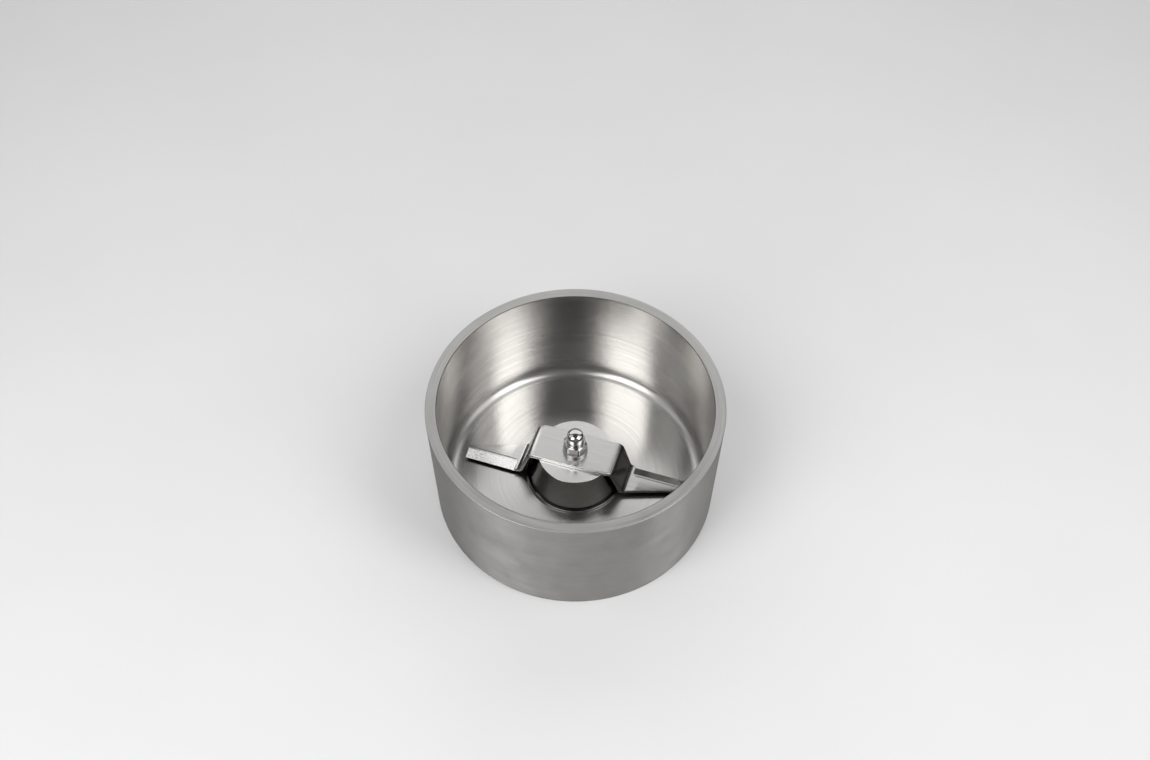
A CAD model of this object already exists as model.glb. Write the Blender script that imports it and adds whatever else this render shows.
"""Grinding bowl of a laboratory mill, dressed and set up in a small studio.

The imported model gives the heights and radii, and every length is in metres, in its frame.
Each sub-assembly is a class: its fields are sizes, its methods work out surfaces as grids
of points and dress them. Each finish is a frozen dataclass that gives one material.
"""

import logging
import math
from dataclasses import dataclass
from enum import Enum, IntEnum

import bpy
import numpy as np
from mathutils import Euler, Matrix, Vector
from numpy.typing import NDArray


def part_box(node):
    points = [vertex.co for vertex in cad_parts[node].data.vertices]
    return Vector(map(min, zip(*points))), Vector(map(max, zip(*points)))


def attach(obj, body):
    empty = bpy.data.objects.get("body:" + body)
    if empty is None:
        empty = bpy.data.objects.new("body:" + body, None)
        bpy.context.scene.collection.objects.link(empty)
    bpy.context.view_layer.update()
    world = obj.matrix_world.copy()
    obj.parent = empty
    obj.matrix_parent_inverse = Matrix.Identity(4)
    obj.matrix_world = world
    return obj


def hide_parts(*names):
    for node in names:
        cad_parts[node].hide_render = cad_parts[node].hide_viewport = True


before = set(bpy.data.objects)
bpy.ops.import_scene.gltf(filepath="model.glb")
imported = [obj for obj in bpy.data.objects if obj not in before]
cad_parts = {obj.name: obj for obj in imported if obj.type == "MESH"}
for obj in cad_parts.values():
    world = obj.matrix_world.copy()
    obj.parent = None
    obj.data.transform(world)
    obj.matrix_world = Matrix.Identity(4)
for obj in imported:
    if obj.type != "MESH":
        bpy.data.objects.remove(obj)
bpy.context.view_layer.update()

log = logging.getLogger("mill")

MM = 0.001
WELD = 0.0001 * MM
TINY = 1e-6
Array = NDArray[np.float64]
Numbers = NDArray[np.int64]
Colour = tuple[float, float, float]
Place = tuple[float, float, float]
Corner = tuple[float, float, float]
Socket = bpy.types.NodeSocket

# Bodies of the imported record
FIXED = "root"
ROTOR = "rotor"

# How far clockwise from the X axis the knife's right end lies, seen from above
KNIFE_ANGLE = math.radians(17.6)

# Smoothness of the surfaces
TURN_STEPS = 256
SMALL_TURN_STEPS = 96
ROUND_STEP = math.radians(12)
LEAST_ARC_POINTS = 3
CREASE_ANGLE = math.radians(20)
GUARD_SHARE = 0.25

# Noise: how strong its finer parts are, the middle of its range, and the detail of clouds
NOISE_ROUGHNESS = 0.55
NOISE_LOW, NOISE_HIGH = 0.3, 0.7
CLOUD_DETAIL = 3.0

# A quarter of a turn, which stretches a reflection across the lines
ACROSS_LINES = 0.25


# Surfaces worked out as grids of points

def outline(corners: list[Corner]) -> Array:
    """Round the corners of a closed outline.

    At each corner the two sides run up to the tangent points, and an arc joins them:
    centre + radius x (cos a, sin a). The tangent points lie radius / tan(half angle) from
    the corner, and the centre radius / sin(half angle) along the bisector. One more point
    just outside each arc keeps the flat beside it flat when it is shaded smooth.

    Args:
        corners: Distance from the axis, height and rounding radius of each corner,
            anticlockwise.

    Returns:
        The outline's points, one row each.
    """
    places = np.array([corner[:2] for corner in corners])
    made = []
    for index, (_, _, radius) in enumerate(corners):
        here = places[index]
        if radius == 0:
            made.append(here[None])
            continue
        back = places[index - 1] - here
        ahead = places[(index + 1) % len(places)] - here
        back = back / np.linalg.norm(back)
        ahead = ahead / np.linalg.norm(ahead)
        half = math.acos(np.clip(back @ ahead, -1, 1)) / 2
        run = radius / math.tan(half)
        bisector = (back + ahead) / np.linalg.norm(back + ahead)
        centre = here + bisector * radius / math.sin(half)
        first = back * run + here - centre
        last = ahead * run + here - centre
        turn = math.atan2(first[0] * last[1] - first[1] * last[0], first @ last)
        count = max(LEAST_ARC_POINTS, math.ceil(abs(turn) / ROUND_STEP) + 1)
        angles = np.linspace(0, turn, count)
        quarter = np.array([-first[1], first[0]])
        arc = centre + np.cos(angles)[:, None] * first + np.sin(angles)[:, None] * quarter
        guard = radius * GUARD_SHARE
        made += [(here + back * (run + guard))[None], arc, (here + ahead * (run + guard))[None]]
    return np.concatenate(made)


def grid_faces(rows: int, columns: int, close_rows: bool = True) -> Numbers:
    """Join a grid of points into four-sided faces, closed round its columns.

    Args:
        rows: Number of rows of points.
        columns: Number of points in each row.
        close_rows: Whether the last row joins the first.

    Returns:
        Four point numbers for each face, turning so that row x column direction is outside.
    """
    row = np.arange(rows if close_rows else rows - 1)[:, None]
    column = np.arange(columns)[None]
    next_row = (row + 1) % rows
    next_column = (column + 1) % columns
    corners = (
        row * columns + column,
        next_row * columns + column,
        next_row * columns + next_column,
        row * columns + next_column,
    )
    return np.stack(corners, axis=-1).reshape(-1, 4)


def round_angles(steps: int, start: float) -> Array:
    """Angles that go evenly round from the first one."""
    return start + np.arange(steps) * math.tau / steps


def lathe(section: Array, steps: int, start: float = 0.0) -> Array:
    """Turn an outline about the upright axis.

    Point (a, s) is (r cos a, r sin a, z), with r and z from the outline at s and a going
    evenly round. The outline's r may be one row for all angles, or a row for each angle.

    Args:
        section: Outline points as (r, z), or one set of them for each angle.
        steps: Number of angles.
        start: The first angle.

    Returns:
        A grid of points, one row for each angle.
    """
    angles = round_angles(steps, start)[:, None]
    radius = np.broadcast_to(section[..., 0], (steps, section.shape[-2]))
    height = np.broadcast_to(section[..., 1], (steps, section.shape[-2]))
    return np.stack((radius * np.cos(angles), radius * np.sin(angles), height), axis=-1)


def weld(points: Array, faces: Numbers) -> tuple[Array, list[list[int]], Numbers]:
    """Merge points that lie in one place and drop what that folds flat.

    Args:
        points: All points, one row each.
        faces: Four point numbers for each face.

    Returns:
        The points left, the faces left as lists, and for each face the number of the face
        it comes from.
    """
    keys = np.round(points / WELD)
    _, first, merged = np.unique(keys, axis=0, return_index=True, return_inverse=True)
    faces = merged.reshape(-1)[faces]
    doubled = faces == np.roll(faces, -1, axis=1)
    count = doubled.sum(axis=1)
    whole = np.flatnonzero(count == 0)
    thin = np.flatnonzero(count == 1)
    triangles = faces[thin][~doubled[thin]].reshape(-1, 3)
    lists = faces[whole].tolist() + triangles.tolist()
    return points[first], lists, np.concatenate((whole, thin))


def keyed_radius(steps: int, diameter: float, flat_width: float) -> Array:
    """Radius of a round hole with two flats along the knife, seen from its centre.

    It is the smaller of the circle's radius and the distance to the flats, which is half
    the width over the sine of the angle from the knife.

    Args:
        steps: Number of angles, the first one along the knife.
        diameter: Diameter of the round part.
        flat_width: Distance between the flats.

    Returns:
        The radius at each angle.
    """
    angles = round_angles(steps, -KNIFE_ANGLE)
    slope = np.maximum(np.abs(np.sin(angles + KNIFE_ANGLE)), TINY)
    return np.minimum(diameter / 2, flat_width / 2 / slope)


# Finishes

class Brushing(Enum):
    """Which way the fine lines of a metal surface run."""

    AROUND = "round the spindle"
    ALONG = "along the knife"
    EVEN = "no way in particular"


class Graph:
    """A node material, with short calls that add its nodes and join them."""

    def __init__(self, name: str) -> None:
        """Start a material that has its main shader and nothing else.

        Args:
            name: The material's name.
        """
        self.material = bpy.data.materials.new(name)
        self.material.use_nodes = True
        self.tree = self.material.node_tree
        self.shader = self.tree.nodes["Principled BSDF"]

    def feed(self, socket: Socket, value: object) -> None:
        """Join a value to a socket if it comes from another node, else set it there.

        Args:
            socket: The socket.
            value: Another node's output, or a number, vector or colour.
        """
        if isinstance(value, Socket):
            self.tree.links.new(value, socket)
        else:
            socket.default_value = value

    def dress(self, inputs: dict[str, object]) -> None:
        """Feed the main shader's sockets by name."""
        for name, value in inputs.items():
            self.feed(self.shader.inputs[name], value)

    def node(
        self,
        kind: str,
        inputs: dict[int | str, object],
        output: int | str = 0,
        **settings: object,
    ) -> Socket:
        """Add one node.

        Args:
            kind: The node's type.
            inputs: What goes into its sockets, by name or number.
            output: Which output to return.
            **settings: Its other settings, by name.

        Returns:
            The chosen output.
        """
        made = self.tree.nodes.new(kind)
        for name, value in settings.items():
            setattr(made, name, value)
        for name, value in inputs.items():
            self.feed(made.inputs[name], value)
        return made.outputs[output]

    def sum(self, operation: str, *terms: object) -> Socket:
        """Work out one number from others."""
        return self.node("ShaderNodeMath", dict(enumerate(terms)), operation=operation)

    def vector(self, operation: str, *terms: object, output: int = 0) -> Socket:
        """Work out one vector, or its length, from others."""
        inputs = dict(enumerate(terms))
        return self.node("ShaderNodeVectorMath", inputs, output, operation=operation)

    def scaled(self, vector: object, factor: object) -> Socket:
        """Multiply a vector or a colour by one number."""
        inputs = {0: vector, "Scale": factor}
        return self.node("ShaderNodeVectorMath", inputs, operation="SCALE")

    def place(self) -> Socket:
        """Position on the piece, in the piece's own frame."""
        return self.node("ShaderNodeTexCoord", {}, "Object")

    def noise(self, place: object, scale: float, detail: float) -> Socket:
        """Cloudy noise between 0 and 1."""
        inputs = {"Vector": place, "Scale": scale, "Detail": detail}
        return self.node("ShaderNodeTexNoise", {**inputs, "Roughness": NOISE_ROUGHNESS})

    def spread(self, value: object, low: float, high: float) -> Socket:
        """Stretch the middle of a noise's range to the one from low to high."""
        inputs = {"Value": value, 1: NOISE_LOW, 2: NOISE_HIGH, 3: low, 4: high}
        return self.node("ShaderNodeMapRange", inputs)

    def bump(self, height: object, depth: float) -> Socket:
        """Lift and sink the surface by a height between 0 and 1 times depth."""
        inputs = {"Height": height, "Distance": depth, "Strength": 1.0}
        return self.node("ShaderNodeBump", inputs)


@dataclass(frozen=True)
class MetalFinish:
    """A machined, brushed or polished metal surface.

    Attributes:
        name: The material's name.
        colour: Reflected colour, linear.
        roughness: Mean roughness.
        brushing: Which way its lines run.
        anisotropy: How much wider its reflections are across the lines than along them.
        pitch: Width of the widest lines.
        run: Length of a line, for lines that run straight, or share of a turn otherwise.
        rough_spread: How far the roughness differs from line to line.
        tone_spread: How far the brightness differs from line to line.
        depth: Depth of the lines.
        cloud: Size of the faint cloudy marks that handling leaves.
        cloud_spread: How far they change the roughness and the brightness.
        detail: How many times the lines split into finer ones.
    """

    name: str
    colour: Colour
    roughness: float
    brushing: Brushing = Brushing.AROUND
    anisotropy: float = 0.6
    pitch: float = 0.8 * MM
    run: float = 0.35
    rough_spread: float = 0.04
    tone_spread: float = 0.05
    depth: float = 0.002 * MM
    cloud: float = 18 * MM
    cloud_spread: float = 0.04
    detail: float = 2.0

    def lines(self, graph: Graph, place: Socket) -> Socket:
        """Coordinates that are long along the lines and count one unit per pitch across them.

        Round the spindle they are the direction from the axis over the run, and the
        distance along the outline, radius + height, over the pitch.

        Args:
            graph: The material that takes the nodes.
            place: Position on the piece.

        Returns:
            The coordinates.
        """
        if self.brushing is Brushing.AROUND:
            flat = graph.vector("MULTIPLY", place, (1, 1, 0))
            radius = graph.vector("LENGTH", flat, output=1)
            height = graph.node("ShaderNodeSeparateXYZ", {0: place}, 2)
            across = graph.sum("DIVIDE", graph.sum("ADD", radius, height), self.pitch)
            around = graph.scaled(graph.vector("NORMALIZE", flat), 1 / self.run)
            lift = graph.node("ShaderNodeCombineXYZ", {2: across})
            return graph.vector("ADD", around, lift)
        length = self.run if self.brushing is Brushing.ALONG else self.pitch
        sizes = (length, self.pitch, self.pitch)
        inputs = {"Vector": place, "Rotation": (0, 0, -KNIFE_ANGLE), "Scale": sizes}
        return graph.node("ShaderNodeMapping", inputs, vector_type="TEXTURE")

    def grain(self, graph: Graph, place: Socket) -> Socket:
        """Direction of the lines: axis x position round the spindle, else the knife's.

        Args:
            graph: The material that takes the nodes.
            place: Position on the piece.

        Returns:
            The direction, in the scene's frame.
        """
        if self.brushing is Brushing.AROUND:
            here = graph.vector("NORMALIZE", graph.vector("CROSS_PRODUCT", (0, 0, 1), place))
        else:
            here = (math.cos(KNIFE_ANGLE), -math.sin(KNIFE_ANGLE), 0)
        settings = {"vector_type": "VECTOR", "convert_from": "OBJECT", "convert_to": "WORLD"}
        return graph.node("ShaderNodeVectorTransform", {0: here}, **settings)

    def material(self) -> bpy.types.Material:
        """Build the finish's node material, or return it if it is built.

        Returns:
            The material.
        """
        if self.name in bpy.data.materials:
            return bpy.data.materials[self.name]
        graph = Graph(self.name)
        place = graph.place()
        lines = self.lines(graph, place)
        streaks = graph.noise(lines, 1.0, self.detail)
        clouds = graph.noise(place, 1 / self.cloud, CLOUD_DETAIL)
        tone = graph.sum(
            "MULTIPLY",
            graph.spread(streaks, 1 - self.tone_spread, 1 + self.tone_spread),
            graph.spread(clouds, 1 - self.cloud_spread, 1 + self.cloud_spread),
        )
        rough = graph.sum(
            "ADD",
            graph.spread(streaks, -self.rough_spread, self.rough_spread),
            graph.spread(clouds, 0.0, self.cloud_spread),
        )
        graph.dress({
            "Base Color": graph.scaled(self.colour, tone),
            "Metallic": 1.0,
            "Roughness": graph.sum("ADD", rough, self.roughness),
            "Normal": graph.bump(streaks, self.depth),
        })
        if self.brushing is not Brushing.EVEN:
            graph.dress({
                "Anisotropic": self.anisotropy,
                "Anisotropic Rotation": ACROSS_LINES,
                "Tangent": self.grain(graph, place),
            })
        return graph.material


@dataclass(frozen=True)
class PackedFinish:
    """The plain material of a slot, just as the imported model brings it."""

    name: str

    def material(self) -> bpy.types.Material:
        """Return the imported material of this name, or a grey one where there is none."""
        return bpy.data.materials.get(self.name) or Graph(self.name).material


SATIN_WALL = MetalFinish(
    "satin_turned_wall", (0.285, 0.281, 0.274), 0.52, anisotropy=0.87, pitch=0.6 * MM,
    run=0.8, rough_spread=0.06, tone_spread=0.09, depth=0.0005 * MM, cloud=11 * MM,
    cloud_spread=0.09,
)
FACED_RIM = MetalFinish(
    "faced_rim", (0.43, 0.425, 0.415), 0.4, anisotropy=0.4, pitch=1.0 * MM,
    run=0.5, rough_spread=0.05, tone_spread=0.12, depth=0.0005 * MM, cloud_spread=0.07,
)
BRIGHT_INSIDE = MetalFinish(
    "bright_brushed_inside", (0.54, 0.53, 0.515), 0.205, anisotropy=0.8, run=1.6,
    rough_spread=0.012, tone_spread=0.09, depth=0.00005 * MM, cloud=9 * MM,
    cloud_spread=0.035,
)
BRIGHT_FLOOR = MetalFinish(
    "bright_turned_floor", (0.54, 0.53, 0.515), 0.238, run=1.6, rough_spread=0.008,
    tone_spread=0.06, depth=0.00005 * MM, cloud=9 * MM, cloud_spread=0.02,
)
BLENDED_CORNER = MetalFinish(
    "blended_corner", (0.52, 0.51, 0.496), 0.29, anisotropy=0.75, pitch=1.6 * MM,
    run=0.8, rough_spread=0.01, tone_spread=0.03, depth=0.00005 * MM, cloud=9 * MM,
    cloud_spread=0.03, detail=1.0,
)
DARK_LIP = MetalFinish(
    "dark_lip", (0.16, 0.155, 0.15), 0.4, anisotropy=0.4, pitch=0.5 * MM, run=1.2,
)
TURNED_BASE = MetalFinish("turned_base", (0.5, 0.495, 0.485), 0.36, pitch=0.7 * MM)
FINE_TURNED = MetalFinish(
    "fine_turned_hub", (0.53, 0.525, 0.51), 0.18, anisotropy=0.5, rough_spread=0.02,
    depth=0.0001 * MM, cloud=6 * MM, detail=1.0,
)
HUB_SIDE = MetalFinish(
    "turned_hub_side", (0.22, 0.215, 0.206), 0.18, anisotropy=0.5, pitch=0.6 * MM,
    rough_spread=0.02, depth=0.0001 * MM,
)
HOUSING_STEEL = MetalFinish(
    "fine_turned_housing", (0.15, 0.145, 0.14), 0.16, anisotropy=0.3, pitch=0.5 * MM,
    rough_spread=0.02, depth=0.0001 * MM,
)
BRUSHED_SHEET = MetalFinish(
    "brushed_sheet", (0.53, 0.525, 0.515), 0.23, Brushing.ALONG, pitch=0.9 * MM,
    run=22 * MM, rough_spread=0.01, depth=0.0001 * MM, cloud=7 * MM, cloud_spread=0.02,
    detail=1.0,
)
BENT_LEG = MetalFinish(
    "bent_leg", (0.13, 0.127, 0.122), 0.235, Brushing.ALONG, anisotropy=0.4,
    pitch=0.7 * MM, run=12 * MM, rough_spread=0.01, tone_spread=0.08, depth=0.0001 * MM,
    cloud_spread=0.02,
)
COARSE_BEVEL = MetalFinish(
    "coarse_ground_bevel", (0.76, 0.755, 0.745), 0.27, Brushing.ALONG, anisotropy=0.5,
    pitch=0.5 * MM, run=0.9 * MM, tone_spread=0.1, depth=0.001 * MM,
)
FINE_BEVEL = MetalFinish(
    "fine_ground_bevel", (0.36, 0.353, 0.342), 0.17, Brushing.ALONG, anisotropy=0.4,
    pitch=0.6 * MM, run=6 * MM, rough_spread=0.02, tone_spread=0.08, depth=0.0002 * MM,
)
BRIGHT_EDGE = MetalFinish(
    "deburred_edge", (0.9, 0.895, 0.88), 0.3, Brushing.ALONG, anisotropy=0.3,
    pitch=2.0 * MM, run=20 * MM, rough_spread=0.02, tone_spread=0.04, depth=0.0001 * MM,
    detail=1.0,
)
POLISHED_NUT = MetalFinish(
    "polished_nut", (0.56, 0.55, 0.54), 0.09, Brushing.EVEN, pitch=1.6 * MM,
    rough_spread=0.02, tone_spread=0.03, depth=0.0005 * MM,
)
NUT_FLATS = MetalFinish(
    "nut_flats", (0.3, 0.29, 0.283), 0.16, Brushing.EVEN, pitch=1.1 * MM,
    tone_spread=0.14, depth=0.001 * MM,
)
DULL_WASHER = MetalFinish(
    "dull_washer", (0.4, 0.396, 0.388), 0.31, anisotropy=0.3,
    pitch=0.6 * MM, rough_spread=0.03, depth=0.0004 * MM,
)
GROUND_RING = MetalFinish("ground_ring", (0.66, 0.66, 0.65), 0.16, pitch=0.3 * MM)
LAPPED_BALL = MetalFinish(
    "lapped_ball", (0.76, 0.76, 0.75), 0.06, Brushing.EVEN, rough_spread=0.02,
)
SPRING_STEEL = MetalFinish(
    "oiled_spring_steel", (0.24, 0.23, 0.22), 0.33, Brushing.EVEN, pitch=1.2 * MM,
)
PRESSED_BRASS = MetalFinish(
    "pressed_brass", (0.74, 0.56, 0.27), 0.28, Brushing.EVEN, pitch=1.5 * MM,
)

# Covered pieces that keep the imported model's plain materials
TURNED_STEEL = PackedFinish("turned_steel")
BRIGHT_STEEL = PackedFinish("bright_steel")
BLACK_RUBBER = PackedFinish("black_rubber")

Finish = MetalFinish | PackedFinish


# Pieces

def put(name: str, data: bpy.types.ID) -> bpy.types.Object:
    """Put a new object in the scene.

    Args:
        name: The object's name.
        data: Its mesh, light or camera.

    Returns:
        The object, at the origin.
    """
    made = bpy.data.objects.new(name, data)
    bpy.context.scene.collection.objects.link(made)
    return made


def shade(mesh: bpy.types.Mesh) -> None:
    """Shade a mesh smooth between its creases."""
    mesh.shade_smooth()
    mesh.set_sharp_from_angle(angle=CREASE_ANGLE)


def add_piece(
    name: str,
    points: Array,
    faces: Numbers,
    finishes: list[Finish],
    zones: Numbers | None = None,
) -> bpy.types.Object:
    """Make a smooth-shaded piece with sharp creases from a grid of points.

    Args:
        name: The piece's name.
        points: Its points, in any grid shape that ends in x, y, z.
        faces: Four point numbers for each face.
        finishes: The finishes that its faces use.
        zones: For each face, the number of its finish.

    Returns:
        The new object, at the origin.
    """
    places, lists, source = weld(points.reshape(-1, 3), faces)
    mesh = bpy.data.meshes.new(name)
    mesh.from_pydata(places, [], lists)
    for finish in finishes:
        mesh.materials.append(finish.material())
    if zones is not None:
        mesh.polygons.foreach_set("material_index", zones[source].astype(np.int32))
    shade(mesh)
    mesh.update()
    return put(name, mesh)


def turned_piece(
    name: str,
    section: Array,
    steps: int,
    finishes: list[Finish],
    zone: Numbers | None = None,
    start: float = 0.0,
) -> bpy.types.Object:
    """Make a piece by turning a closed outline about the upright axis.

    Args:
        name: The piece's name.
        section: Outline points as (r, z), or one set of them for each angle.
        steps: Number of angles.
        finishes: The finishes that its faces use.
        zone: For each stretch of the outline, the number of its finish.
        start: The first angle.

    Returns:
        The new object, at the origin.
    """
    points = lathe(section, steps, start)
    zones = None if zone is None else np.tile(zone, steps)
    return add_piece(name, points, grid_faces(*points.shape[:2]), finishes, zones)


def fit(piece: bpy.types.Object, body: str, slot: str, *nodes: str) -> None:
    """Let a piece ride on a body, stand for nodes and name its material slot.

    Args:
        piece: The piece.
        body: The body that it rides on.
        slot: Its material slot.
        *nodes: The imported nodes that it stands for.
    """
    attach(piece, body)
    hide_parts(*nodes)
    log.info("%s rides on %s, %d faces", piece.name, body, len(piece.data.polygons))


@dataclass
class CarriedPiece:
    """A node kept as it was packed, its loose triangles merged and shaded smooth."""

    node: str
    body: str
    slot: str
    finish: Finish

    def build(self) -> None:
        """Copy the node's mesh, merge its triangles and dress it."""
        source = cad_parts[self.node].data
        triangles = np.zeros(len(source.loops), np.int32)
        source.loops.foreach_get("vertex_index", triangles)
        places = np.zeros(len(source.vertices) * 3)
        source.vertices.foreach_get("co", places)
        corners = triangles.reshape(-1, 3)
        faces = np.concatenate((corners, corners[:, 2:]), axis=1)
        name = f"{self.node}_finished"
        piece = add_piece(name, places.reshape(-1, 3), faces, [self.finish])
        fit(piece, self.body, self.slot, self.node)


class BowlZone(IntEnum):
    """Parts of the bowl's surface, numbered in the order of its finishes."""

    WALL, RIM, INSIDE, BASE, LIP, CORNER, FLOOR = range(7)


@dataclass
class Bowl:
    """The turned bowl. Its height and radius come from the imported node."""

    wall: float = 5.0 * MM
    floor: float = 5.0 * MM
    corner: float = 5.0 * MM
    rim_round: float = 0.25 * MM
    rim_inner_round: float = 0.3 * MM
    foot_round: float = 0.8 * MM
    recess_clearance: float = 0.2 * MM
    edge: float = 0.15 * MM

    def section(self) -> Array:
        """Work out the outline of the wall, floor, bore and recess.

        Returns:
            The outline's points, anticlockwise from the recess.
        """
        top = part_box("bowl")[1].z
        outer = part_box("bowl")[1].x
        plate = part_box("retaining_plate")[1]
        recess = plate.x + self.recess_clearance
        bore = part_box("housing_o_ring")[1].x
        inner = outer - self.wall
        return outline([
            (recess, 0, self.edge),
            (outer, 0, self.foot_round),
            (outer, top, self.rim_round),
            (inner, top, self.rim_inner_round),
            (inner, self.floor, self.corner),
            (bore, self.floor, self.edge),
            (bore, plate.z, 0),
            (recess, plate.z, 0),
        ])

    def zones(self, section: Array) -> Numbers:
        """Find the finish of each stretch of the outline from where its middle lies.

        Args:
            section: The bowl's outline.

        Returns:
            One of BowlZone for each stretch.
        """
        ahead = np.roll(section, -1, axis=0)
        radius, height = ((section + ahead) / 2).T
        run, rise = np.abs(ahead - section).T
        level = run > rise
        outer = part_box("bowl")[1].x
        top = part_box("bowl")[1].z
        inner = outer - self.wall
        inside = (radius < inner + self.edge) & (height >= self.floor)
        on_rim = level & (height > top - self.rim_round)
        on_lip = (radius < inner + self.rim_inner_round) & (height > top - self.rim_inner_round)
        on_base = (height < self.floor) & (radius < outer - self.foot_round)
        in_corner = inside & (radius > inner - self.corner) & (height < self.floor + self.corner)
        return np.select(
            [on_lip, on_rim, in_corner, inside & level, inside, on_base],
            [
                BowlZone.LIP, BowlZone.RIM, BowlZone.CORNER, BowlZone.FLOOR, BowlZone.INSIDE,
                BowlZone.BASE,
            ],
            BowlZone.WALL,
        )

    def build(self) -> None:
        """Turn the bowl and give each part of its surface its finish."""
        section = self.section()
        finishes = [
            SATIN_WALL, FACED_RIM, BRIGHT_INSIDE, TURNED_BASE, DARK_LIP, BLENDED_CORNER,
            BRIGHT_FLOOR,
        ]
        piece = turned_piece("bowl_turned", section, TURN_STEPS, finishes, self.zones(section))
        fit(piece, FIXED, "bowl_steel", "bowl")


@dataclass
class Housing:
    """The bearing housing: spigot, rounded flange and upright barrel."""

    barrel: float = 14.0 * MM
    spigot: float = 17.0 * MM
    flange_height: float = 1.2 * MM
    flange_round: float = 0.8 * MM
    groove_depth: float = 1.3 * MM
    groove_width: float = 2.1 * MM
    circlip_groove_depth: float = 0.5 * MM
    circlip_side_clearance: float = 0.1 * MM
    edge: float = 0.5 * MM

    def build(self) -> None:
        """Turn the housing, with its grooves for the seal ring and the circlip."""
        low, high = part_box("bearing_housing")
        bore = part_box("outer_spacer")[1].x
        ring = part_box("housing_o_ring")
        middle = (ring[0].z + ring[1].z) / 2
        groove_low = middle - self.groove_width / 2
        groove_high = middle + self.groove_width / 2
        groove = self.spigot - self.groove_depth
        clip_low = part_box("bearing_circlip")[0].z
        clip_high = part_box("bearing_circlip")[1].z + self.circlip_side_clearance
        clip = bore + self.circlip_groove_depth
        seat = Bowl.floor
        section = outline([
            (bore, low.z, 0),
            (self.spigot, low.z, 0),
            (self.spigot, groove_low, 0),
            (groove, groove_low, 0),
            (groove, groove_high, 0),
            (self.spigot, groove_high, 0),
            (self.spigot, seat, 0),
            (high.x, seat, 0),
            (high.x, seat + self.flange_height, self.flange_round),
            (self.barrel, seat + self.flange_height, 0),
            (self.barrel, high.z, self.edge),
            (bore, high.z, 0),
            (bore, clip_high, 0),
            (clip, clip_high, 0),
            (clip, clip_low, 0),
            (bore, clip_low, 0),
        ])
        piece = turned_piece("housing_turned", section, TURN_STEPS, [HOUSING_STEEL])
        fit(piece, FIXED, "turned_steel", "bearing_housing")


class HubZone(IntEnum):
    """Parts of the hub's surface, numbered in the order of its finishes."""

    LEVEL, SIDE = range(2)


@dataclass
class Hub:
    """The hollow cone that carries the knife, with a keyed hole in its roof."""

    wall: float = 3.5 * MM
    taper: float = math.radians(14.4)
    roof: float = 3.3 * MM
    cavity: float = 15.3 * MM
    neck: float = 8.1 * MM
    neck_flats: float = 6.5 * MM
    edge: float = 0.25 * MM

    def top_radius(self) -> float:
        """Radius of the cone's outside at its top."""
        return self.cavity + self.wall - self.roof * math.tan(self.taper)

    def build(self) -> None:
        """Turn the hub; the hole's radius at each angle is that of the keyed neck."""
        low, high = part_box("knife_hub")
        under = high.z - self.roof
        mouth = self.cavity + (under - low.z) * math.tan(self.taper)
        section = outline([
            (self.neck / 2, under, 0),
            (self.cavity, under, self.edge),
            (mouth, low.z, self.edge),
            (mouth + self.wall, low.z, self.edge),
            (self.top_radius(), high.z, self.edge),
            (self.neck / 2, high.z, 0),
        ])
        hole = keyed_radius(TURN_STEPS, self.neck, self.neck_flats)
        sections = np.repeat(section[None], TURN_STEPS, axis=0)
        sections[:, 0, 0] = hole
        sections[:, -1, 0] = hole
        run, rise = np.abs(np.roll(section, -1, axis=0) - section).T
        zone = np.where(rise > run, HubZone.SIDE, HubZone.LEVEL)
        finishes = [FINE_TURNED, HUB_SIDE]
        piece = turned_piece("hub_turned", sections, TURN_STEPS, finishes, zone, -KNIFE_ANGLE)
        fit(piece, ROTOR, "hub_steel", "knife_hub")


@dataclass
class SheetLine:
    """The middle of the knife's sheet, as stations from the centre to the tip.

    Attributes:
        places: Distance along the knife and height of each station.
        normals: Upward normal of the sheet there.
        ground: Whether the wing is ground there.
    """

    places: Array
    normals: Array
    ground: NDArray[np.bool_]

    def repeat(self, values: Array | list[float]) -> Array:
        """Give every station the same row of values."""
        return np.repeat(np.asarray(values)[None], len(self.places), axis=0)

    def along(self, lift: Array) -> Array:
        """Distance along the knife of points lifted from the middle along the normal."""
        return self.places[:, :1] + self.normals[:, :1] * lift

    def height(self, lift: Array) -> Array:
        """Height of points lifted from the middle along the normal."""
        return self.places[:, 1:] + self.normals[:, 1:] * lift


class KnifeZone(IntEnum):
    """Parts of the knife's surface, numbered in the order of its finishes."""

    SHEET, LEFT_BEVEL, LEG, EDGE, RIGHT_BEVEL = range(5)


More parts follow.
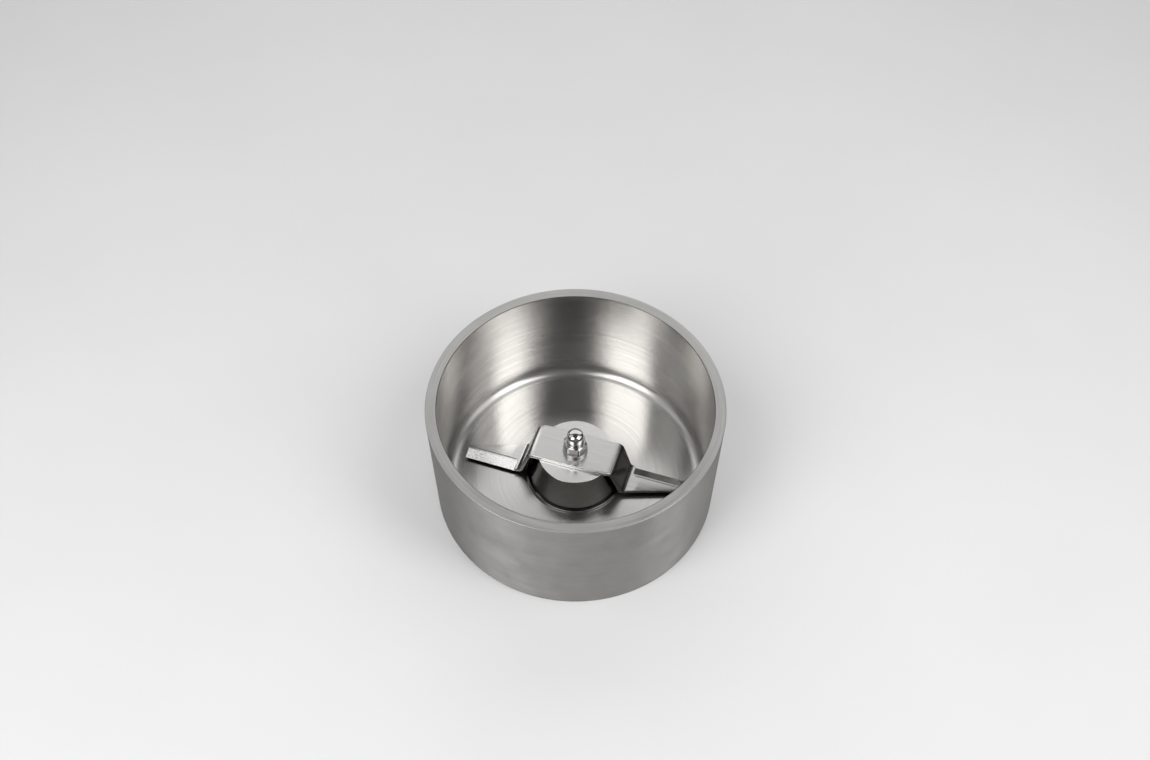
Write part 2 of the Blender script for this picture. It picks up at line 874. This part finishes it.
@dataclass
class Knife:
    """The bent knife: strap over the hub, two legs and two wings with ground bevels.

    Its own axes are u along the knife, v across it towards the ground edge of the wing at
    positive u, and z up. The wing at negative u is the same one turned half round.
    """

    width: float = 20.0 * MM
    tip_width: float = 6.2 * MM
    shoulder: float = 14.9 * MM
    tip_gap: float = 9.1 * MM
    hub_gap: float = 1.55 * MM
    leg_slant: float = math.radians(17.5)
    bend_inside: float = 2.0 * MM
    grind_width: float = 4.6 * MM
    land: float = 0.15 * MM
    relief_width: float = 1.3 * MM
    relief_depth: float = 0.16 * MM
    relief_step: float = 0.42 * MM
    grind_start: float = 2.2 * MM
    grind_corner: float = 2.0 * MM
    edge: float = 0.3 * MM
    ground_edge: float = 0.03 * MM
    leg_bend_shown: float = math.radians(33)
    root_bend_shown: float = math.radians(20)
    guard: float = 0.1 * MM
    hole: float = 8.1 * MM
    hole_flats: float = 6.5 * MM
    edge_steps: int = 5
    bend_steps: int = 14
    corner_steps: int = 8
    wing_steps: int = 12

    def __post_init__(self) -> None:
        """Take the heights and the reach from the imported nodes, and set out the columns."""
        self.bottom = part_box("knife")[0].z
        self.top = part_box("knife")[1].z
        self.sheet = self.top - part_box("knife_hub")[1].z
        self.half_width = self.width / 2
        self.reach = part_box("bowl")[1].x - Bowl.wall - self.tip_gap
        self.turn = math.pi / 2 - self.leg_slant
        self.shift = self.sheet * math.tan(self.turn / 2)
        self.strap_reach = Hub().top_radius() + self.hub_gap + self.shift
        wing_top = self.bottom + self.sheet
        self.root = self.strap_reach + (self.top - wing_top) * math.tan(self.leg_slant)
        self.grind_root = self.root + self.grind_start
        self.back = self.half_width - self.grind_width
        self.crease = self.back - self.relief_width
        self.wing_middle = self.bottom + self.sheet / 2
        flat = np.array([self.crease - self.guard, self.crease])
        ground = np.array([
            self.crease, self.crease + self.relief_step, self.back - self.guard, self.back,
            self.back + self.guard, (self.back + self.half_width) / 2,
            self.half_width - self.edge - self.guard, self.half_width - self.edge,
        ])
        front = np.concatenate((flat, ground))
        self.columns = np.concatenate((-front[::-1], front))
        self.first_ground = len(front) + len(flat)
        self.quarter = np.linspace(0, math.pi / 2, self.edge_steps + 1)

    def line(self) -> SheetLine:
        """Follow the sheet's middle from the centre to the tip.

        Each stretch is straight or an arc. Its heading is the start heading plus the
        curvature times the distance, and its place is the start plus that heading summed
        along it: for an arc, the change of (sin, -cos) of the heading over the curvature.

        Returns:
            The stations.
        """
        radius = self.bend_inside + self.sheet / 2
        trim = radius * math.tan(self.turn / 2)
        strap = self.strap_reach - self.shift / 2
        drop = self.top - self.bottom - self.sheet
        leg = drop / math.cos(self.leg_slant)
        root = self.root - self.shift / 2
        corner = self.grind_corner * (
            1 - np.cos(np.linspace(0, math.pi / 2, self.corner_steps + 1))
        )
        wing_start = root + trim
        to_root = self.grind_root - wing_start
        plain = np.array([0.0, self.guard, to_root - self.guard, to_root])
        tip = self.reach - wing_start
        far = np.linspace(to_root + self.grind_corner, tip, self.wing_steps)[1:]
        wing = np.concatenate((plain, to_root + corner, far))
        bend = np.linspace(0, self.turn * radius, self.bend_steps + 1)
        stretches = (
            (np.array([0.0, strap - trim - self.guard, strap - trim]), 0.0),
            (bend, -1 / radius),
            (np.array([0.0, self.guard, leg - 2 * trim - self.guard, leg - 2 * trim]), 0.0),
            (bend, 1 / radius),
            (wing, 0.0),
        )
        place = np.array([0.0, self.top - self.sheet / 2])
        heading = 0.0
        places, normals = [], []
        for distance, curvature in stretches:
            headings = heading + curvature * distance
            if curvature:
                along = np.stack((
                    np.sin(headings) - math.sin(heading), math.cos(heading) - np.cos(headings)
                ), axis=-1) / curvature
            else:
                along = distance[:, None] * np.array([math.cos(heading), math.sin(heading)])
            places.append(place + along)
            normals.append(np.stack((-np.sin(headings), np.cos(headings)), axis=-1))
            place = place + along[-1]
            heading = headings[-1]
        count = sum(len(part) for part in places)
        ground = np.arange(count) >= count - len(wing) + len(plain)
        return SheetLine(np.concatenate(places), np.concatenate(normals), ground)

    def back_edge(self, u: Array) -> Array:
        """Where the wing's tapered back edge is: a straight line from shoulder to tip."""
        share = np.clip((u - self.shoulder) / (self.reach - self.shoulder), 0, 1)
        return -self.half_width + share * (self.width - self.tip_width)

    def corner_line(self, u: Array) -> Array:
        """Where the ground hollow starts across the wing.

        Past the wheel's round corner it is the crease. Within it, it is the quarter circle
        crease + r - sqrt(r^2 - (r - d)^2), with d the distance from the hollow's root.

        Args:
            u: Distances along the knife.

        Returns:
            v at each of them.
        """
        radius = self.grind_corner
        inside = np.clip(radius - (u - self.grind_root), 0, radius)
        return self.crease + radius - np.sqrt(radius**2 - inside**2)

    def ground_height(self, v: Array) -> Array:
        """Height of the ground surface: a small step, a flat relief, then the bevel.

        Args:
            v: Distances across the knife.

        Returns:
            The height at each of them.
        """
        top = self.bottom + self.sheet
        low = top - self.relief_depth
        across = (self.crease, self.crease + self.relief_step, self.back, self.half_width)
        heights = (top, low, low, self.bottom + self.land)
        return np.interp(v, across, heights)

    def top_surface(self, line: SheetLine) -> tuple[Array, Array]:
        """Work out the top of the sheet, from its back edge to its front one.

        The columns stand at fixed v, but never behind the back edge, and the ground ones
        never behind the corner line, where they take the ground height.

        Args:
            line: The sheet's middle.

        Returns:
            v and lift of each point, one row for each station.
        """
        v = line.repeat(self.columns)
        lift = np.full_like(v, self.sheet / 2)
        v = np.maximum(v, self.back_edge(line.along(lift)) + self.edge)
        u = line.along(lift)
        past_root = u >= self.grind_root - WELD
        start = np.where(past_root, self.corner_line(u), -self.half_width)
        column = np.arange(len(self.columns))
        v = np.where(column >= self.first_ground, np.maximum(v, start), v)
        v = np.where((column == self.first_ground - 1) & past_root, start, v)
        beside = np.maximum(start - self.guard, self.back_edge(u) + self.edge)
        v = np.where((column == self.first_ground - 2) & past_root, beside, v)
        cut = (column >= self.first_ground) & line.ground[:, None]
        return v, np.where(cut, self.ground_height(v) - self.wing_middle, lift)

    def edges(self, line: SheetLine) -> list[tuple[Array, Array]]:
        """Work out the front edge, the bottom, and the back edge, which follows the taper.

        The rounds are quarter circles. Where the wing is ground, the front edge takes the
        ground height and has a smaller round below.

        Args:
            line: The sheet's middle.

        Returns:
            v and lift of the points of each part, one row for each station.
        """
        side, high, edge, quarter = self.half_width, self.sheet / 2, self.edge, self.quarter
        v = line.repeat(side - edge + edge * np.sin(quarter[1:]))
        lift = line.repeat(high - edge + edge * np.cos(quarter[1:]))
        lift = np.where(line.ground[:, None], self.ground_height(v) - self.wing_middle, lift)
        small = np.where(line.ground, self.ground_edge, edge)[:, None]
        flat = line.repeat([-high])
        below = line.repeat(-high + edge - edge * np.cos(quarter))
        above = line.repeat(high - edge + edge * np.sin(quarter[:-1]))
        return [
            (v, lift),
            (side - small + small * np.cos(quarter), -high + small - small * np.sin(quarter)),
            (line.repeat([side - 2 * edge]), flat),
            (self.back_edge(line.along(flat)) + 2 * edge, flat),
            (self.back_edge(line.along(below)) + edge - edge * np.sin(quarter), below),
            (self.back_edge(line.along(above)) + edge - edge * np.cos(quarter[:-1]), above),
        ]

    def zones(self, line: SheetLine, columns: int) -> Numbers:
        """Find the finish of each face.

        Args:
            line: The sheet's middle.
            columns: Number of points round the sheet's cross-section.

        Returns:
            One of KnifeZone for each face, one row for each station.
        """
        first, steps, ground = self.first_ground, self.edge_steps, line.ground
        zone = np.full((len(ground), columns), KnifeZone.SHEET)
        bevel = np.where(ground, KnifeZone.LEFT_BEVEL, KnifeZone.SHEET)
        zone[:, first:len(self.columns) + steps] = bevel[:, None]
        zone[ground, first - 1:first + 1] = KnifeZone.LEG
        tilt = line.normals[:, 1]
        past_strap = line.places[:, 0] > self.strap_reach
        upright = (tilt < math.cos(self.leg_bend_shown)) | (
            past_strap & (tilt < math.cos(self.root_bend_shown))
        )
        zone[upright[:, None] & (zone == KnifeZone.SHEET)] = KnifeZone.LEG
        front_face = len(self.columns) + steps - 1
        back_face = columns - steps - 1
        zone[:, front_face + steps + 1:back_face] = KnifeZone.LEG
        rounds = np.r_[
            front_face - steps:front_face, front_face + 1:front_face + 1 + steps,
            back_face - steps:back_face, back_face + 1:back_face + 1 + steps
        ]
        on_strap = ~past_strap & ~upright
        zone[np.ix_(~on_strap, [front_face, back_face])] = KnifeZone.LEG
        zone[np.ix_(on_strap, rounds)] = KnifeZone.EDGE
        return zone

    def half(self) -> tuple[Array, Numbers]:
        """Carry the sheet's cross-section along the line, from the centre to the tip.

        Returns:
            A grid of points, one row for each station and one that closes the tip, and
            one of KnifeZone for each face.
        """
        line = self.line()
        parts = [self.top_surface(line), *self.edges(line)]
        v = np.concatenate([part[0] for part in parts], axis=1)
        lift = np.concatenate([part[1] for part in parts], axis=1)
        grid = np.stack((line.along(lift), v, line.height(lift)), axis=-1)
        cap = np.broadcast_to(grid[-1].mean(axis=0), grid[-1:].shape)
        return np.concatenate((grid, cap)), self.zones(line, grid.shape[1]).reshape(-1)

    def build(self) -> None:
        """Make one half, turn a copy half round, join them and cut the keyed hole."""
        grid, zone = self.half()
        faces = grid_faces(*grid.shape[:2], close_rows=False)
        both = np.stack((grid, grid * np.array([-1, -1, 1]))).reshape(-1, 3)
        along = np.array([math.cos(KNIFE_ANGLE), -math.sin(KNIFE_ANGLE), 0])
        across = np.array([math.sin(KNIFE_ANGLE), math.cos(KNIFE_ANGLE), 0])
        points = both[:, :1] * along + both[:, 1:2] * across
        points[:, 2] = both[:, 2]
        all_faces = np.concatenate((faces, faces + grid.shape[0] * grid.shape[1]))
        finishes = [BRUSHED_SHEET, COARSE_BEVEL, BENT_LEG, BRIGHT_EDGE, FINE_BEVEL]
        right = np.where(zone == KnifeZone.LEFT_BEVEL, KnifeZone.RIGHT_BEVEL, zone)
        zones = np.concatenate((right, zone))
        piece = add_piece("knife_bent", points, all_faces, finishes, zones)
        self.cut_hole(piece)
        fit(piece, ROTOR, "knife_steel", "knife")

    def cut_hole(self, piece: bpy.types.Object) -> None:
        """Cut the keyed hole through the strap with a turned plug of the hole's outline.

        Args:
            piece: The knife.
        """
        radius = keyed_radius(SMALL_TURN_STEPS, self.hole, self.hole_flats)
        low, high = self.top - 2 * self.sheet, self.top + self.sheet
        sections = np.zeros((SMALL_TURN_STEPS, 4, 2))
        sections[:, 1:3, 0] = radius[:, None]
        sections[:, :, 1] = (low, low, high, high)
        finishes = [BRUSHED_SHEET]
        plug = turned_piece("plug", sections, SMALL_TURN_STEPS, finishes, start=-KNIFE_ANGLE)
        cutter = piece.modifiers.new("hole", "BOOLEAN")
        cutter.operation = "DIFFERENCE"
        cutter.solver = "EXACT"
        cutter.object = plug
        graph = bpy.context.evaluated_depsgraph_get()
        cut = bpy.data.meshes.new_from_object(piece.evaluated_get(graph))
        piece.modifiers.clear()
        piece.data = cut
        shade(cut)
        bpy.data.objects.remove(plug)


@dataclass
class Washer:
    """The flat washer under the nut."""

    bore: float = 3.2 * MM
    edge: float = 0.2 * MM

    def build(self) -> None:
        """Turn the washer with a round on its outer edges."""
        low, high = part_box("washer")
        section = outline([
            (self.bore, low.z, 0),
            (high.x, low.z, self.edge),
            (high.x, high.z, self.edge),
            (self.bore, high.z, 0),
        ])
        piece = turned_piece("washer_flat", section, SMALL_TURN_STEPS, [DULL_WASHER])
        fit(piece, ROTOR, "bright_steel", "washer")


class NutZone(IntEnum):
    """Parts of the nut's surface, numbered in the order of its finishes."""

    DOME, HEXAGON = range(2)


@dataclass
class DomeNut:
    """The dome nut: a chamfered hexagon, a neck and a flattened dome, blind inside."""

    flats: float = 10.0 * MM
    hex_height: float = 5.0 * MM
    neck: float = 8.0 * MM
    dome_height: float = 1.5 * MM
    dome_round: float = 2.0 * MM
    chamfer: float = math.radians(30)
    chamfer_start: float = 4.8 * MM
    corner_angle: float = math.radians(-71.3)
    corner_trim: float = 0.12 * MM
    thread: float = 6.0 * MM
    roof_gap: float = 0.8 * MM
    dome_steps: int = 16

    def hexagon(self, base: float) -> Array:
        """Work out the outline of the hexagon's side and chamfer at each angle.

        Its radius is half its flats over the cosine of the angle from the nearest flat's
        middle. Its upper edge is cut by a cone, so its height falls by the radius beyond
        the cone's start times the chamfer's tangent.

        Args:
            base: Height of the nut's foot.

        Returns:
            Five points for each angle.
        """
        angles = round_angles(SMALL_TURN_STEPS, self.corner_angle)
        from_flat = (angles - self.corner_angle) % (math.pi / 3) - math.pi / 6
        radius = self.flats / 2 / np.cos(from_flat)
        radius = np.minimum(radius, self.flats / math.sqrt(3) - self.corner_trim)
        top = base + self.hex_height
        shoulder = top - (radius - self.chamfer_start) * math.tan(self.chamfer)
        same, trim = np.ones_like(radius), self.corner_trim
        neck = self.neck / 2 + trim
        radii = (radius - trim, radius, radius, self.chamfer_start * same, neck * same)
        heights = (base * same, (base + trim) * same, shoulder, top * same, top * same)
        return np.stack((np.stack(radii, axis=-1), np.stack(heights, axis=-1)), axis=-1)

    def dome(self, base: float, top: float) -> Array:
        """Work out the outline of the neck, the dome and the blind thread.

        The dome is a ball's cap of radius (neck squared + rise squared) / (2 rise), its
        edge rounded: the rounding's middle lies its own radius inside the neck and inside
        the cap.

        Args:
            base: Height of the nut's foot.
            top: Height of its top.

        Returns:
            The points, the same for every angle.
        """
        neck, rise = self.neck / 2, self.dome_height
        ball = (neck**2 + rise**2) / (2 * rise)
        inset = neck - self.dome_round
        seat = top - ball + math.sqrt((ball - self.dome_round) ** 2 - inset**2)
        turned = math.atan2(seat - top + ball, inset)
        bend = np.linspace(0, turned, self.dome_steps + 1)
        cap = np.linspace(turned, math.pi / 2, self.dome_steps + 1)[1:]
        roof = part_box("spindle")[1].z + self.roof_gap
        return np.concatenate((
            [(neck, base + self.hex_height + self.corner_trim)],
            (inset, seat) + self.dome_round * np.stack((np.cos(bend), np.sin(bend)), axis=-1),
            (0, top - ball) + ball * np.stack((np.cos(cap), np.sin(cap)), axis=-1),
            [(0.0, roof), (self.thread / 2, roof), (self.thread / 2, base)],
        ))

    def build(self) -> None:
        """Turn the nut from the outline of its hexagon and its dome at each angle."""
        low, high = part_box("dome_nut")
        steps = SMALL_TURN_STEPS
        hexagon = self.hexagon(low.z)
        dome = np.repeat(self.dome(low.z, high.z)[None], steps, axis=0)
        sections = np.concatenate((hexagon, dome), axis=1)
        zone = np.full(sections.shape[1], NutZone.DOME)
        zone[:hexagon.shape[1] - 1] = NutZone.HEXAGON
        finishes, start = [POLISHED_NUT, NUT_FLATS], self.corner_angle
        piece = turned_piece("dome_nut_polished", sections, steps, finishes, zone, start)
        fit(piece, ROTOR, "nut_polish", "dome_nut")


@dataclass
class BallBearing:
    """One shielded ball bearing, kept as it was packed."""

    name: str
    cage_body: str

    def build(self) -> None:
        """Dress the rings, shields, balls and cage."""
        pieces = (
            ("inner_ring", ROTOR, "bearing_steel", GROUND_RING),
            ("outer_ring", FIXED, "bearing_steel", GROUND_RING),
            ("shields", FIXED, "bright_steel", BRIGHT_STEEL),
            ("balls", self.cage_body, "ball_steel", LAPPED_BALL),
            ("cage", self.cage_body, "cage_brass", PRESSED_BRASS),
        )
        for part, body, slot, finish in pieces:
            CarriedPiece(f"{self.name}_{part}", body, slot, finish).build()


@dataclass
class SpindleUnit:
    """The spindle and the small pieces round it that the hub covers, kept as packed."""

    pieces: tuple[CarriedPiece, ...] = (
        CarriedPiece("spindle", ROTOR, "turned_steel", TURNED_STEEL),
        CarriedPiece("inner_spacer", ROTOR, "turned_steel", TURNED_STEEL),
        CarriedPiece("seal_sleeve", ROTOR, "bearing_steel", GROUND_RING),
        CarriedPiece("outer_spacer", FIXED, "turned_steel", TURNED_STEEL),
        CarriedPiece("bearing_circlip", FIXED, "spring_steel", SPRING_STEEL),
        CarriedPiece("shaft_seal", FIXED, "black_rubber", BLACK_RUBBER),
        CarriedPiece("seal_spring", FIXED, "bright_steel", BRIGHT_STEEL),
        CarriedPiece("housing_o_ring", FIXED, "black_rubber", BLACK_RUBBER),
        CarriedPiece("retaining_plate", FIXED, "turned_steel", TURNED_STEEL),
        CarriedPiece("plate_screws", FIXED, "bright_steel", BRIGHT_STEEL),
    )

    def build(self) -> None:
        """Dress the pieces one by one."""
        for piece in self.pieces:
            piece.build()


# Studio

@dataclass
class Softbox:
    """A soft rectangular light that faces the bowl. Its angles are in degrees."""

    name: str
    azimuth: float
    power: float
    elevation: float = 45
    distance: float = 0.9
    width: float = 0.33
    height: float = 0.84

    def build(self) -> None:
        """Hang the light at its angle and turn it to the bowl's middle."""
        data = bpy.data.lights.new(self.name, "AREA")
        data.shape = "RECTANGLE"
        data.size = self.width
        data.size_y = self.height
        data.energy = self.power
        light = put(self.name, data)
        turn, rise = math.radians(self.azimuth), math.radians(self.elevation)
        level = math.cos(rise)
        away = Vector((math.cos(turn) * level, math.sin(turn) * level, math.sin(rise)))
        light.location = away * self.distance
        light.rotation_mode = "QUATERNION"
        light.rotation_quaternion = (-away).to_track_quat("-Z", "Y")
        light.visible_camera = False


@dataclass
class Studio:
    """Pale floor, soft light and the photograph's camera."""

    floor_size: float = 6.0
    floor_tone: float = 0.73
    floor_spread: float = 0.015
    floor_cloud: float = 0.125
    floor_roughness: float = 0.7
    world_tone: float = 0.075
    camera_place: Place = (-0.000353, -0.29195, 0.46330)
    camera_tilt: float = math.radians(37.271)
    camera_roll: float = math.radians(0.395)
    lens: float = 34.253
    sensor: float = 36.0

    def floor(self) -> None:
        """Lay the floor under the bowl."""
        graph = Graph("pale_floor")
        place = graph.place()
        cloud = graph.noise(place, 1 / self.floor_cloud, CLOUD_DETAIL)
        tone = graph.spread(cloud, 1 - self.floor_spread, 1 + self.floor_spread)
        colour = graph.scaled((self.floor_tone,) * 3, tone)
        graph.dress({"Base Color": colour, "Roughness": self.floor_roughness})
        half = self.floor_size / 2
        mesh = bpy.data.meshes.new("floor")
        corners = [(-half, -half, 0), (half, -half, 0), (half, half, 0), (-half, half, 0)]
        mesh.from_pydata(corners, [], [(0, 1, 2, 3)])
        mesh.materials.append(graph.material)
        floor = put("floor", mesh)

    def camera(self) -> None:
        """Set the camera at the photograph's place and angle."""
        data = bpy.data.cameras.new("camera")
        data.lens = self.lens
        data.sensor_width = self.sensor
        camera = put("camera", data)
        tilt = Euler((self.camera_tilt, 0, 0)).to_matrix().to_4x4()
        roll = Matrix.Rotation(self.camera_roll, 4, "Z")
        camera.matrix_world = Matrix.Translation(self.camera_place) @ tilt @ roll
        bpy.context.scene.camera = camera

    def lights(self) -> None:
        """Hang the softboxes and set the even light of the room."""
        softboxes = (
            Softbox("right_softbox", azimuth=329, power=3.7),
            Softbox("right_fill", azimuth=0, power=1.0),
            Softbox("left_softbox", azimuth=223, power=4.9, width=0.42),
            Softbox("left_fill", azimuth=172, power=0.7, width=0.36),
            Softbox("front_card", azimuth=270, power=2.2, elevation=14, width=0.9, height=0.4),
            Softbox(
                "front_fill", azimuth=270, power=0.12, elevation=50, distance=1.0, width=0.9,
                height=0.6,
            ),
            Softbox(
                "back_softbox", azimuth=90, power=4.6, elevation=42, distance=1.0, width=1.6,
                height=0.80,
            ),
        )
        for softbox in softboxes:
            softbox.build()
        world = bpy.data.worlds.new("room")
        world.use_nodes = True
        background = world.node_tree.nodes["Background"]
        background.inputs["Color"].default_value = (1, 1, 1, 1)
        background.inputs["Strength"].default_value = self.world_tone
        bpy.context.scene.world = world

    def build(self) -> None:
        """Set up the whole studio and the way the picture shows tones."""
        self.floor()
        self.camera()
        self.lights()
        bpy.context.scene.view_settings.view_transform = "Standard"


def main() -> None:
    """Build the studio, then every sub-assembly from the outside in."""
    logging.basicConfig(level=logging.INFO, format="%(name)s: %(message)s")
    Studio().build()
    for assembly in (
        Bowl(),
        Housing(),
        SpindleUnit(),
        BallBearing("lower_bearing", "lower_balls"),
        BallBearing("upper_bearing", "upper_balls"),
        Hub(),
        Knife(),
        Washer(),
        DomeNut(),
    ):
        log.info("building %s", type(assembly).__name__)
        assembly.build()


if __name__ == "__main__":
    main()
